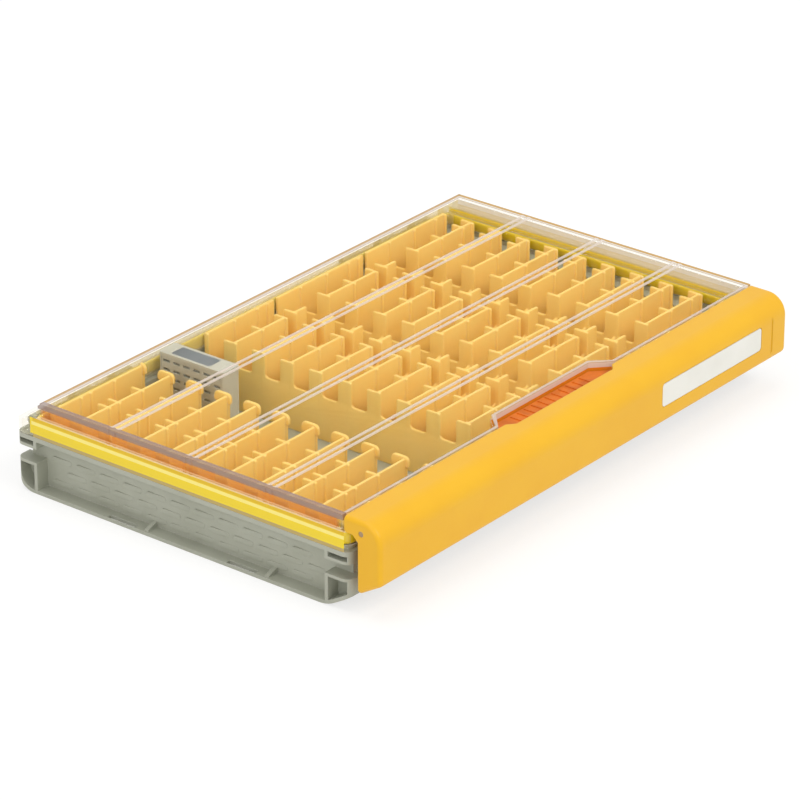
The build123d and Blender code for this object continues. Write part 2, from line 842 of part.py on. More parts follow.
def bar_envelope():
    """Solid block inside the bar's outer outline, with both ends rounded."""
    low = height - bar_drop
    closing = [
        Line((front_face + bar_lip, low), (bar_edge, low)),
        Line((bar_edge, low), (bar_edge, height)),
    ]
    outline = make_face(Curve() + bar_outline(0) + closing)
    body = along_x(outline, -length / 2, length / 2)
    end_faces = body.faces().sort_by(Axis.X)
    edges = end_faces[0].edges() + end_faces[-1].edges()
    outer = [edge for edge in edges if edge.center().Y < bar_edge - 1 and edge.center().Z > low + 0.1]
    return fillet(outer, bar_end_radius)


def latch_bar():
    """Latch bar: a shell with end walls, hooks behind its lower edge and a label recess."""
    half = length / 2
    bar = along_x(bar_shell_outline(), -half, half)
    end_outline = bar_end_outline()
    for x0 in (-half, half - bar_wall):
        bar += along_x(end_outline, x0, x0 + bar_wall)
    bar &= bar_envelope()
    hook_high = catch_low - hook_gap
    hook_back = tray_front - catch_reach - hook_gap
    for place in hook_places:
        for side in (-1, 1):
            x0 = side * place - hook_thickness / 2
            hook = along_x(end_outline, x0, x0 + hook_thickness)
            bar += hook & block(x0, x0 + hook_thickness, front_face, hook_back, 0, hook_high)
    bar -= trapezoid_prism(
        slot_notch_outer_half,
        bar_edge + 0.01,
        slot_notch_inner_half,
        bar_edge - slot_notch_depth,
        height - 2 * bar_wall,
        height + 1,
    )
    bar -= label_form(label_recess, 0)
    groove_x, groove_low, groove_high = vent_groove
    half_groove = vent_groove_width / 2
    bar -= block(
        groove_x - half_groove, groove_x + half_groove, front_face - 1, front_face + vent_groove_depth,
        groove_low, groove_high,
    )
    bore = latch_pin_diameter / 2 + latch_pin_clearance
    return bar - rod(bore, -half - 1, half + 1, pivot_y, pivot_z)


def label_form(thickness, inset):
    """Label's form at the bar's front face, drawn in on its sides by inset."""
    outline = RectangleRounded(label_length - 2 * inset, label_height - 2 * inset, label_radius)
    plane = Plane.XZ.offset(-front_face - label_recess)
    return extrude(plane * (Pos(*label_centre) * outline), thickness)


def latch_pin(side):
    """Pivot pin through a latch bar end wall into the lid's ear."""
    outer = length / 2 - latch_pin_inset
    x0, x1 = sorted((side * outer, side * (outer - latch_pin_length)))
    return rod(latch_pin_diameter / 2, x0, x1, pivot_y, pivot_z)


def thumb_pad():
    """Soft pad in the thumb slot, seated under the bar's top wall."""
    face = height - pad_drop
    notch_edge = bar_edge - slot_notch_depth
    seat = notch_edge - pad_seat_depth
    tip = slot_back - pad_tip_gap
    slope = (slot_outer_half - slot_inner_half) / slot_depth
    tip_half = slot_inner_half + slope * pad_tip_gap - pad_side_gap
    wide_half = slot_outer_half - pad_side_gap
    plan = polygon(
        (-tip_half, tip),
        (tip_half, tip),
        (wide_half, lid_front),
        (wide_half, seat),
        (-wide_half, seat),
        (-wide_half, lid_front),
    )
    pad = extrude(Pos(0, 0, face - pad_thickness) * plan, pad_thickness)
    pad += block(-wide_half, wide_half, seat, notch_edge, face - 0.1, height - bar_wall)
    for number in range(pad_rib_count):
        x = (number - (pad_rib_count - 1) / 2) * pad_rib_pitch
        pad += block(
            x - pad_rib_width / 2, x + pad_rib_width / 2,
            notch_edge + pad_rib_inset, tip - pad_rib_inset,
            face - 0.1, face + pad_rib_height,
        )
    return pad


pieces = {
    "base_tray": base_tray(),
    "hinge_pin_left": hinge_pin(-1),
    "hinge_pin_right": hinge_pin(1),
    "insert_left": insert_left(),
    "insert_right": insert_right(),
    "divider_body": divider_body(),
    "divider_louvre": divider_louvre(),
    "wick_pad": wick_pad(),
    "divider_label": divider_plate_form(0),
    "lid_shell": lid_shell(),
    "lid_seal": lid_seal(),
    "latch_bar": latch_bar(),
    "latch_pin_left": latch_pin(-1),
    "latch_pin_right": latch_pin(1),
    "thumb_pad": thumb_pad(),
    "latch_label": label_form(label_recess - label_sink, label_gap),
}

os.makedirs("parts", exist_ok=True)
for name, piece in pieces.items():
    export_step(piece, f"parts/{name}.step")
    print(name, len(piece.solids()), "solid(s)")
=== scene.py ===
"""Tackle utility box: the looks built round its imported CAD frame.

X runs along the latch bar, Y from the latch to the hinges and Z up, in metres unless a name or text says mm.
Moulded plastics, the clear lid, the soft seal and the felt pad each have their own finish class, and each
sub-assembly of the box is a class that builds and dresses its own pieces.
"""

import logging
import math
from dataclasses import dataclass, field
from enum import Enum

import bpy
import numpy as np
from bpy.types import Material, Node, NodeSocket, NodeTree, Object
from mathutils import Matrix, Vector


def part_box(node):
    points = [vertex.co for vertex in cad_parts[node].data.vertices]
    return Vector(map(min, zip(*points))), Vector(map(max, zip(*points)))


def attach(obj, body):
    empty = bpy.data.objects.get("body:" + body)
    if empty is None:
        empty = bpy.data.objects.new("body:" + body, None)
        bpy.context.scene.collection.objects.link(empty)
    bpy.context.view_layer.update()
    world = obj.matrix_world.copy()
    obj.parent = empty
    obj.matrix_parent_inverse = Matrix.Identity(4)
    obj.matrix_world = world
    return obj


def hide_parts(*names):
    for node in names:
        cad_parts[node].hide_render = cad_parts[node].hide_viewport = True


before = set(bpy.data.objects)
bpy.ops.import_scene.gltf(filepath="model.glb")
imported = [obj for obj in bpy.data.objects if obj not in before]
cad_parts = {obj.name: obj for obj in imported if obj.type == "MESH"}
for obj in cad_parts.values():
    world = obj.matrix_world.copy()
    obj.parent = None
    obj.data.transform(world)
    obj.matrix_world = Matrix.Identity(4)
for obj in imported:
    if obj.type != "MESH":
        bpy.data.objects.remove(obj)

LOG = logging.getLogger("tackle_box")
MM = 0.001
SMOOTH_DEGREES = 38  # edges that turn less are shaded round
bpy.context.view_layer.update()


class Side(Enum):
    """The two ends of the box, with the sign that X has there."""

    LEFT = -1
    RIGHT = 1


class WallRun(Enum):
    """The direction in which a cradle's wall runs."""

    ALONG_LATCH = "rows, along X"
    ACROSS = "cross walls, along Y"


class Rays(Enum):
    """Light Path outputs that the studio's floor, its surround and the clear lid tell apart."""

    CAMERA = "Is Camera Ray"
    GLOSSY = "Is Glossy Ray"
    TRANSMISSION = "Is Transmission Ray"
    SHADOW = "Is Shadow Ray"
    DIFFUSE = "Is Diffuse Ray"


# Node trees

# Node types that most materials use
MATH = "ShaderNodeMath"
MAP_RANGE = "ShaderNodeMapRange"
NOISE = "ShaderNodeTexNoise"
MIX = "ShaderNodeMix"
BUMP = "ShaderNodeBump"
PRINCIPLED = "ShaderNodeBsdfPrincipled"
OUTPUT = "ShaderNodeOutputMaterial"
# Numbers of the Mix node's two colour inputs and of its colour output
COLOUR_A = 6
COLOUR_B = 7
MIXED_COLOUR = 2


def linear(hex_colour: str) -> tuple[float, float, float, float]:
    """Turn an sRGB hex colour to the linear colour that shaders take.

    Args:
        hex_colour: Six hex digits after a hash, as a colour picker shows them.

    Returns:
        Linear red, green and blue, and 1 for alpha.
    """
    parts = [int(hex_colour[i : i + 2], 16) / 255 for i in (1, 3, 5)]
    shares = [p / 12.92 if p <= 0.04045 else ((p + 0.055) / 1.055) ** 2.4 for p in parts]
    return (shares[0], shares[1], shares[2], 1.0)


def add_node(tree: NodeTree, kind: str, inputs: dict | None = None, **settings: str | int) -> Node:
    """Add one node with its settings and links.

    Args:
        tree: The node tree that takes the node.
        kind: The node's type name.
        inputs: Input names or numbers, each with a value, or with the socket or the node that feeds it. A
            node feeds it from its first output.
        settings: The node's own options.

    Returns:
        The new node.
    """
    node = tree.nodes.new(kind)
    for name, value in settings.items():
        setattr(node, name, value)
    for name, value in (inputs or {}).items():
        if isinstance(value, Node):
            value = value.outputs[0]
        if isinstance(value, NodeSocket):
            tree.links.new(value, node.inputs[name])
        else:
            node.inputs[name].default_value = value
    return node


def new_tree(name: str) -> tuple[Material, NodeTree]:
    """Make an empty node material.

    Args:
        name: The material's name.

    Returns:
        The material and its tree.
    """
    material = bpy.data.materials.new(name)
    material.use_nodes = True
    material.node_tree.nodes.clear()
    return material, material.node_tree


def any_ray(tree: NodeTree, *rays: Rays) -> NodeSocket:
    """Give a socket that is 1 for any of these kinds of ray and 0 for the rest.

    Args:
        tree: The node tree that takes the nodes.
        rays: The kinds of ray.

    Returns:
        The output socket of the last node.
    """
    path = add_node(tree, "ShaderNodeLightPath")
    socket = path.outputs[rays[0].value]
    for ray in rays[1:]:
        pair = {0: socket, 1: path.outputs[ray.value]}
        socket = add_node(tree, MATH, pair, operation="MAXIMUM").outputs[0]
    return socket


def edge_turn(tree: NodeTree, edge_mm: float) -> tuple[NodeSocket, NodeSocket]:
    """Find the edges: there the normal, rounded over the edge radius, leaves the face's own normal.

    Args:
        tree: The node tree that takes the nodes.
        edge_mm: Radius of the moulding's edges.

    Returns:
        The rounded normal, and its dot product with the face's, which is 1 away from edges.
    """
    soft = add_node(tree, "ShaderNodeBevel", {"Radius": edge_mm * MM}, samples=6).outputs[0]
    flat = add_node(tree, "ShaderNodeNewGeometry").outputs["Normal"]
    turn = add_node(tree, "ShaderNodeVectorMath", {0: soft, 1: flat}, operation="DOT_PRODUCT")
    return soft, turn.outputs["Value"]


# Finishes


@dataclass(frozen=True)
class MouldedPlastic:
    """An opaque injection-moulded plastic.

    The mould leaves a fine even grain and the melt leaves slow clouds of a second tone. The rounded edges of
    the moulding are painted a little paler, a painted highlight where they would catch the light.

    Attributes:
        name: The material's name.
        body: Colour of most of the surface.
        cloud: Colour of the slow clouds in the melt.
        edge: Colour of the painted highlight along the moulding's edges.
        roughness: Mean roughness.
        cloud_mm: Size of the clouds.
        grain_mm: Size of the mould's grain, drawn coarser than life so that it shows.
        grain_depth_mm: Height of the grain.
        edge_mm: Radius of the moulding's edges.
    """

    name: str
    body: str
    cloud: str
    edge: str
    roughness: float = 0.45
    cloud_mm: float = 22.0
    grain_mm: float = 0.9
    grain_depth_mm: float = 0.012
    edge_mm: float = 0.45

    def material(self) -> Material:
        """Build the node material.

        Returns:
            The material.
        """
        material, tree = new_tree(self.name)
        place = add_node(tree, "ShaderNodeTexCoord").outputs["Object"]
        pattern = {"Vector": place, "Scale": 1 / (self.cloud_mm * MM), "Detail": 3.0, "Roughness": 0.55}
        cloud = add_node(tree, NOISE, pattern)
        pattern = {"Vector": place, "Scale": 1 / (self.grain_mm * MM), "Detail": 2.0, "Roughness": 0.6}
        grain = add_node(tree, NOISE, pattern)
        soft, turn = edge_turn(tree, self.edge_mm)
        # painted highlight: the edge colour is mixed in where the rounded normal leaves the face's own
        span = {"Value": turn, "From Min": 0.995, "From Max": 0.75, "To Max": 0.75}
        edge = add_node(tree, MAP_RANGE, span)
        melt = add_node(tree, MAP_RANGE, {"Value": cloud, "From Min": 0.35, "From Max": 0.7})
        colour = linear(self.body)
        # the melt's clouds, then the painted edge highlight
        for share, paint in ((melt, self.cloud), (edge, self.edge)):
            tones = {0: share, COLOUR_A: colour, COLOUR_B: linear(paint)}
            colour = add_node(tree, MIX, tones, data_type="RGBA").outputs[MIXED_COLOUR]
        span = {"Value": grain, "To Min": self.roughness - 0.07, "To Max": self.roughness + 0.09}
        rough = add_node(tree, MAP_RANGE, span)
        bump = {"Strength": 0.6, "Distance": self.grain_depth_mm * MM, "Height": grain, "Normal": soft}
        relief = add_node(tree, BUMP, bump)
        look = {"Base Color": colour, "Roughness": rough, "IOR": 1.5, "Normal": relief}
        shader = add_node(tree, PRINCIPLED, look)
        add_node(tree, OUTPUT, {"Surface": shader})
        return material


@dataclass(frozen=True)
class PaintedLightZone:
    """A part of the clear lid that is painted with light: a colour standing in for what the wall bends and
    reflects there.

    Attributes:
        colour: Painted colour that stands in for the light that the wall bends and reflects there.
        share: How much of it shows.
        least: Lowest X, Y and Z in mm.
        most: Highest X, Y and Z in mm.
        upright_only: True if only upright faces show it.
    """

    colour: str
    share: float
    least: tuple[float, float, float]
    most: tuple[float, float, float]
    upright_only: bool = False


@dataclass(frozen=True)
class ClearPlastic:
    """Clear styrene acrylonitrile, injection moulded and polished in the mould.

    Its faces show what lies behind them with a faint warm tint and a faint gloss. Its edges are painted as
    pale lines, a painted highlight for the light that they bend, and some zones carry painted light. Lamps
    and soft light reach through it unbent, as they do through a thin clear panel.

    Attributes:
        name: The material's name.
        tint: Colour that one pass through a face leaves of white.
        pale: Colour of the painted highlight lines along edges.
        zones: Parts that carry painted light.
        clarity: Share of a face that is seen through without gloss.
        edge_share: How much of an edge is seen as a pale painted line.
        roughness: Polish of the mould.
        wave_mm: Length of the faint waves that the melt leaves in the panel.
        wave_depth_mm: Height of the waves.
        edge_mm: Radius of the moulding's edges.
        filled_share: Share of colour from which the part that isn't seen straight through is opaque.
    """

    name: str
    zones: tuple[PaintedLightZone, ...]
    tint: str = "#FFFEFB"
    # painted highlight lines along the edges
    pale: str = "#DCCFC4"
    clarity: float = 0.985
    edge_share: float = 0.6
    roughness: float = 0.06
    wave_mm: float = 30.0
    wave_depth_mm: float = 0.02
    edge_mm: float = 0.45
    filled_share: float = 0.3

    def inside(self, tree: NodeTree, axes: list[NodeSocket], level: Node, zone: PaintedLightZone) -> Node:
        """Find a zone: each axis lies within half the zone's size of its middle.

        Args:
            tree: The node tree that takes the nodes.
            axes: X, Y and Z.
            level: Node that gives the size of the face normal's Z part.
            zone: The zone.

        Returns:
            A node that gives the zone's share inside and 0 outside.
        """
        share = zone.share
        for value, low, high in zip(axes, zone.least, zone.most):
            span = {0: value, 1: (low + high) / 2 * MM, 2: (high - low) / 2 * MM}
            within = add_node(tree, MATH, span, operation="COMPARE")
            share = add_node(tree, MATH, {0: within, 1: share}, operation="MULTIPLY")
        if zone.upright_only:
            upright = add_node(tree, MATH, {0: level, 1: 0.5}, operation="LESS_THAN")
            share = add_node(tree, MATH, {0: upright, 1: share}, operation="MULTIPLY")
        return share

    def material(self) -> Material:
        """Build the node material.

        Returns:
            The material.
        """
        material, tree = new_tree(self.name)
        place = add_node(tree, "ShaderNodeTexCoord").outputs["Object"]
        axes = list(add_node(tree, "ShaderNodeSeparateXYZ", {0: place}).outputs)
        normal = add_node(tree, "ShaderNodeNewGeometry").outputs["Normal"]
        facing = add_node(tree, "ShaderNodeSeparateXYZ", {0: normal})
        level = add_node(tree, MATH, {0: facing.outputs[2]}, operation="ABSOLUTE")
        wave = add_node(tree, NOISE, {"Vector": place, "Scale": 1 / (self.wave_mm * MM), "Detail": 1.0})
        bump = {"Strength": 0.3, "Distance": self.wave_depth_mm * MM, "Height": wave}
        span = {"Value": wave, "To Min": self.roughness * 0.5, "To Max": self.roughness * 1.5}
        polish = add_node(tree, MAP_RANGE, span)
        # painted highlight: edges are mixed towards the pale colour
        turn = edge_turn(tree, self.edge_mm)[1]
        span = {"Value": turn, "From Min": 0.99, "From Max": 0.8, "To Max": self.edge_share}
        shown = add_node(tree, MAP_RANGE, span)
        tones = {0: shown, COLOUR_A: linear(self.tint), COLOUR_B: linear(self.pale)}
        colour = add_node(tree, MIX, tones, data_type="RGBA").outputs[MIXED_COLOUR]
        # each zone paints its colour, painted light for what the wall bends and reflects there
        for zone in self.zones:
            share = self.inside(tree, axes, level, zone)
            is_in = add_node(tree, MATH, {0: share}, operation="CEIL")
            tones = {0: is_in, COLOUR_A: colour, COLOUR_B: linear(zone.colour)}
            colour = add_node(tree, MIX, tones, data_type="RGBA").outputs[MIXED_COLOUR]
            shown = add_node(tree, MATH, {0: share, 1: shown}, operation="MAXIMUM")
        span = {"Value": shown, "From Max": self.filled_share, "To Min": 1.0, "To Max": 0.0}
        look = {
            "Base Color": colour,
            "Roughness": polish,
            "IOR": 1.49,
            "Transmission Weight": add_node(tree, MAP_RANGE, span),
            "Normal": add_node(tree, BUMP, bump),
        }
        glass = add_node(tree, PRINCIPLED, look)
        clear = add_node(tree, "ShaderNodeBsdfTransparent", {"Color": linear(self.tint)})
        seen = add_node(tree, MAP_RANGE, {"Value": shown, "To Min": self.clarity, "To Max": 0.0})
        pair = {0: any_ray(tree, Rays.SHADOW, Rays.DIFFUSE), 1: seen}
        share = add_node(tree, MATH, pair, operation="MAXIMUM")
        lit = add_node(tree, "ShaderNodeMixShader", {0: share, 1: glass, 2: clear})
        add_node(tree, OUTPUT, {"Surface": lit})
        return material


def painted_bead_lines() -> tuple[PaintedLightZone, ...]:
    """A painted pale line on each bead of the panel's three pairs, a little wider than the bead, for the
    light that its foot bends.

    Returns:
        Six zones.
    """
    pairs = (-50.2, 2.8, 54.8)
    reach = 2.1
    half = 1.15
    places = [pair + side * reach for pair in pairs for side in (-1, 1)]
    return tuple(PaintedLightZone("#E2D6CC", 0.72, (-175, y - half, 53.3), (176, y + half, 55)) for y in places)


LID_PAINTED_LIGHT = (
    # painted light on the panes at the far end and the back: the seal's yellow as seen through them low
    # down, near white above
    PaintedLightZone("#D9C27C", 0.72, (163, -99, 43.6), (176.4, 112, 48.6), upright_only=True),
    PaintedLightZone("#E2DACA", 0.72, (163, -99, 48.6), (176.4, 112, 53.2), upright_only=True),
    PaintedLightZone("#E3D49A", 0.35, (-170, 104, 36.2), (176, 119, 53.2), upright_only=True),
    # painted light on the border of the panel: pale lines, a brown band over the left end wall and gold
    # edges over the others, for the light that the border bends
    PaintedLightZone("#D6C9BF", 0.7, (-175, -99, 53.44), (175, 123, 55)),
    PaintedLightZone("#957B71", 0.8, (-180, -99, 50.8), (-174.4, 106, 55)),
    PaintedLightZone("#E6DED2", 0.75, (174.4, -99, 53.1), (175.2, 106, 55)),
    PaintedLightZone("#C99C46", 0.85, (175.2, -99, 52.8), (180, 124, 55)),
    PaintedLightZone("#BE9248", 0.85, (-174.4, 102.5, 52.6), (180, 124, 55)),
    # end walls of the rim, painted with the seal's yellow as seen through them: a painted highlight at its
    # height, a darker painted band under the roof, a dull painted line at the foot and a pale one on top
    PaintedLightZone("#F4D618", 0.97, (-180, -99, 35.2), (-177, 112, 44.4)),
    PaintedLightZone("#BFA65E", 0.9, (-180, -99, 33.2), (-177, 110, 35.2)),
    PaintedLightZone("#FFEE84", 0.97, (-180, -99, 40.2), (-177, 111, 42.1)),
    PaintedLightZone("#E4BA00", 0.97, (-180, -99, 42.5), (-177, 110, 44.4)),
    PaintedLightZone("#F2D2A0", 0.9, (-180, -99, 44.4), (-174.4, 107, 45.3)),
    PaintedLightZone("#F4D618", 0.97, (177, -99, 33.2), (180, 112, 44.4)),
    # end wall above the rim, painted with the cradle's amber as seen through it
    PaintedLightZone("#DC740A", 0.38, (-180, -95, 45.3), (-174.4, 104, 50.8), upright_only=True),
    # upright walls of the thumb slot, painted pale above and with the pad's orange as seen through them
    # below
    PaintedLightZone("#E6DDD6", 0.88, (-52, -99, 50.8), (52, -86.4, 53.5), upright_only=True),
    PaintedLightZone("#E98A1C", 0.75, (-52, -99, 46), (52, -86.4, 50.8), upright_only=True),
    *painted_bead_lines(),
)


@dataclass(frozen=True)
class SoftElastomer:
    """A soft thermoplastic elastomer, moulded smooth, as seals and grips are made of.

    It has a slow sheen with faint flow lines, and no grain of its own.

    Attributes:
        name: The material's name.
        body: Colour of the surface.
        deep: Colour in the faint flow lines.
        roughness: Mean roughness.
        flow_mm: Distance between flow lines.
        coat: Weight of the clear skin that a polished mould leaves.
    """

    name: str
    body: str
    deep: str
    roughness: float = 0.35
    flow_mm: float = 9.0
    coat: float = 0.0

    def material(self) -> Material:
        """Build the node material.

        Returns:
            The material.
        """
        material, tree = new_tree(self.name)
        place = add_node(tree, "ShaderNodeTexCoord").outputs["Object"]
        pattern = {"Vector": place, "Scale": 1 / (self.flow_mm * MM), "Detail": 4.0, "Distortion": 0.6}
        flow = add_node(tree, NOISE, pattern | {"Roughness": 0.5})
        line = add_node(tree, MAP_RANGE, {"Value": flow, "From Min": 0.4, "From Max": 0.7, "To Max": 0.8})
        tones = {0: line, COLOUR_A: linear(self.body), COLOUR_B: linear(self.deep)}
        colour = add_node(tree, MIX, tones, data_type="RGBA").outputs[MIXED_COLOUR]
        span = {"Value": flow, "To Min": self.roughness - 0.06, "To Max": self.roughness + 0.06}
        rough = add_node(tree, MAP_RANGE, span)
        bump = {"Strength": 0.3, "Distance": 0.02 * MM, "Height": flow}
        look = {
            "Base Color": colour,
            "Roughness": rough,
            "IOR": 1.5,
            "Coat Weight": self.coat,
            "Coat Roughness": 0.12,
            "Normal": add_node(tree, BUMP, bump),
        }
        shader = add_node(tree, PRINCIPLED, look)
        add_node(tree, OUTPUT, {"Surface": shader})
        return material


@dataclass(frozen=True)
class DrawnSteel:
    """Bright drawn steel wire, with fine lines along the draw.

    Attributes:
        name: The material's name.
        body: Colour of the metal, painted darker and browner than bright steel as painted shade.
        line_mm: Distance between the draw lines.
    """

    name: str
    # painted shade: the latch pins' ends sit shaded in their holes
    body: str = "#A98F70"
    line_mm: float = 0.25

    def material(self) -> Material:
        """Build the node material.

        Returns:
            The material.
        """
        material, tree = new_tree(self.name)
        place = add_node(tree, "ShaderNodeTexCoord").outputs["Object"]
        along = add_node(tree, "ShaderNodeMapping", {"Vector": place, "Scale": (0.03, 1.0, 1.0)})
        lines = add_node(tree, NOISE, {"Vector": along, "Scale": 1 / (self.line_mm * MM), "Detail": 3.0})
        rough = add_node(tree, MAP_RANGE, {"Value": lines, "To Min": 0.18, "To Max": 0.42})
        relief = add_node(tree, BUMP, {"Strength": 0.4, "Distance": 0.01 * MM, "Height": lines})
        look = {"Base Color": linear(self.body), "Metallic": 1.0, "Roughness": rough, "Normal": relief}
        shader = add_node(tree, PRINCIPLED, look)
        add_node(tree, OUTPUT, {"Surface": shader})
        return material


@dataclass(frozen=True)
class PressedFelt:
    """Pressed felt of a wicking fibre, matted with short crossing hairs.

    Attributes:
        name: The material's name.
        body: Colour of the fibres.
        gap: Colour between them.
        fibre_mm: Distance between fibres, drawn coarser than life so that it shows.
    """

    name: str
    body: str = "#DAD6CC"
    gap: str = "#A9A497"
    fibre_mm: float = 0.7

    def material(self) -> Material:
        """Build the node material.

        Returns:
            The material.
        """
        material, tree = new_tree(self.name)
        place = add_node(tree, "ShaderNodeTexCoord").outputs["Object"]
        pattern = {"Vector": place, "Scale": 1 / (self.fibre_mm * MM), "Detail": 5.0, "Distortion": 2.5}
        hairs = add_node(tree, NOISE, pattern | {"Roughness": 0.7})
        mat = add_node(tree, MAP_RANGE, {"Value": hairs, "From Min": 0.38, "From Max": 0.6})
        tones = {0: mat, COLOUR_A: linear(self.gap), COLOUR_B: linear(self.body)}
        colour = add_node(tree, MIX, tones, data_type="RGBA").outputs[MIXED_COLOUR]
        relief = add_node(tree, BUMP, {"Strength": 0.8, "Distance": 0.15 * MM, "Height": hairs})
        look = {"Base Color": colour, "Roughness": 0.95, "Sheen Weight": 0.3, "Normal": relief}
        shader = add_node(tree, PRINCIPLED, look)
        add_node(tree, OUTPUT, {"Surface": shader})
        return material


# Every finish on the box, by the record's material slot; a moulded plastic's third colour is its painted
# edge highlight
FINISHES = {
    # polypropylene, fine spark-eroded mould grain
    "grey_tray": MouldedPlastic(
        "polypropylene_grey_grained", "#B0B2A4", "#A8AA9B", "#CDCEC2", roughness=0.5, grain_depth_mm=0.02
    ),
    # polypropylene, satin mould, its colour painted paler than the plastic as painted light for what comes
    # through its thin walls, with a wide painted highlight on the wall tops
    "yellow_cradle": MouldedPlastic(
        "polypropylene_amber_satin", "#FFDC7E", "#FFD674", "#FFEDB4", roughness=0.42, edge_mm=0.7
    ),
    # polypropylene, as the tray, a little finer
    "grey_divider": MouldedPlastic(
        "polypropylene_grey_satin", "#CBCBC0", "#C3C3B8", "#DADAD0", grain_mm=0.7
    ),
    # acrylonitrile butadiene styrene, satin mould
    "yellow_latch": MouldedPlastic(
        "abs_yellow_satin", "#EDB508", "#EBB104", "#F3C230", roughness=0.4, edge_mm=0.7, grain_depth_mm=0.01
    ),
    # printed film on a thin polystyrene plate
    "dark_plate": MouldedPlastic(
        "printed_film_slate", "#767E86", "#666E76", "#949CA2", roughness=0.38, cloud_mm=14.0, edge_mm=0.15
    ),
    # coated paper label, pressed smooth
    "white_label": MouldedPlastic(
        "coated_paper_white", "#ECECE6", "#E6E6DF", "#F4F4F0", roughness=0.55, grain_mm=0.4, edge_mm=0.1
    ),
    # styrene acrylonitrile, polished mould, with painted light in its zones and along its edges
    "clear_lid": ClearPlastic("styrene_acrylonitrile_clear_polished", LID_PAINTED_LIGHT),
    # thermoplastic elastomer, polished mould, so it has a wet look
    "yellow_seal": SoftElastomer(
        "elastomer_yellow_polished", "#F6DC2A", "#F0D020", roughness=0.28, coat=0.6
    ),
    # thermoplastic elastomer, satin mould
    "orange_pad": SoftElastomer("elastomer_orange_satin", "#DE7208", "#BA5A06", roughness=0.6),
    # drawn steel wire, painted darker and browner as painted shade
    "steel_pin": DrawnSteel("drawn_steel_painted_shade"),
    # pressed felt
    "wick": PressedFelt("pressed_felt_natural"),
}


# Meshes

Looks = dict[str, Material]  # materials by the record's slots


@dataclass
class Solid:
    """Points and faces of one closed form.

    Attributes:
        points: One row of X, Y and Z for each point.
        smooth: Four-sided faces that are shaded round, as rows of point numbers.
        flat: Faces that are shaded flat, as lists of point numbers.
    """

    points: np.ndarray
    smooth: np.ndarray
    flat: list[list[int]] = field(default_factory=list)

    def facing_out(self) -> "Solid":
        """Turn every face round if the form's volume comes out below zero.

        The volume is a sixth of the sum, over triangles that fan out from each face's first corner, of the
        triple product of their corners.

        Returns:
            The form with its faces pointing outwards.
        """
        quads = self.points[self.smooth]
        total = 0.0
        for second, third in ((1, 2), (2, 3)):
            cross = np.cross(quads[:, second], quads[:, third])
            total += float(np.einsum("ij,ij->i", quads[:, 0], cross).sum())
        for face in self.flat:
            corners = self.points[face]
            cross = np.cross(corners[1:-1], corners[2:])
            total += float((cross @ corners[0]).sum())
        if total >= 0:
            return self
        return Solid(self.points, self.smooth[:, ::-1], [face[::-1] for face in self.flat])


def arc(centre: tuple[float, float], radius: float, start: float, end: float, steps: int) -> np.ndarray:
    """Points along an arc: the centre plus the radius times the cosine and sine of the angle.

    Args:
        centre: The arc's centre in its plane.
        radius: Its radius.
        start: First angle in degrees, from the plane's first axis.
        end: Last angle in degrees.
        steps: Number of runs between points.

    Returns:
        One row for each point.
    """
    angle = np.radians(np.linspace(start, end, steps + 1))
    return np.array(centre) + radius * np.stack([np.cos(angle), np.sin(angle)], axis=1)


def superellipse(angle: np.ndarray, power: float) -> tuple[np.ndarray, np.ndarray]:
    """Superellipse of half size 1: the sizes of the cosine and sine, each raised to 2 over the power.

    Args:
        angle: Angles round it in radians.
        power: 2 gives a circle, and more a squarer form.

    Returns:
        Both coordinates of each point.
    """
    x, y = np.cos(angle), np.sin(angle)
    return np.sign(x) * np.abs(x) ** (2 / power), np.sign(y) * np.abs(y) ** (2 / power)


def loft(rings: np.ndarray, closed: bool = False) -> Solid:
    """Join rings of points by four-sided faces.

    Point (k, i) is joined to (k, i + 1), (k + 1, i + 1) and (k + 1, i), with i counted round the ring.

    Args:
        rings: Array of rings, points in a ring, and X, Y and Z.
        closed: True if the last ring joins the first, as round a seal. Otherwise both end rings are capped.

    Returns:
        The closed form.
    """
    count, around = rings.shape[:2]
    ring = np.arange(count if closed else count - 1)[:, None]
    place = np.arange(around)[None, :]
    following = (place + 1) % around
    above = (ring + 1) % count
    corners = [ring * around + place, ring * around + following]
    corners += [above * around + following, above * around + place]
    faces = np.stack(corners, axis=-1).reshape(-1, 4)
    caps = []
    if not closed:
        last = (count - 1) * around
        caps = [list(range(around))[::-1], list(range(last, last + around))]
    return Solid(rings.reshape(-1, 3), faces, caps).facing_out()


def inward(outline: np.ndarray) -> np.ndarray:
    """Inward mitre vectors of a closed outline, a unit of inset each.

    At each point the two neighbouring sides' inward normals are added, and the sum is divided by 1 plus
    their dot product, so that a step along it moves both sides in by the same amount.

    Args:
        outline: Points of the outline in its plane, in either sense.

    Returns:
        One vector for each point.
    """
    side = np.roll(outline, -1, axis=0) - outline
    side /= np.linalg.norm(side, axis=1, keepdims=True)
    after = np.stack([-side[:, 1], side[:, 0]], axis=1)
    x, y = outline.T
    if (x * np.roll(y, -1) - y * np.roll(x, -1)).sum() < 0:
        after = -after
    before = np.roll(after, 1, axis=0)
    return (before + after) / (1 + (before * after).sum(axis=1, keepdims=True))


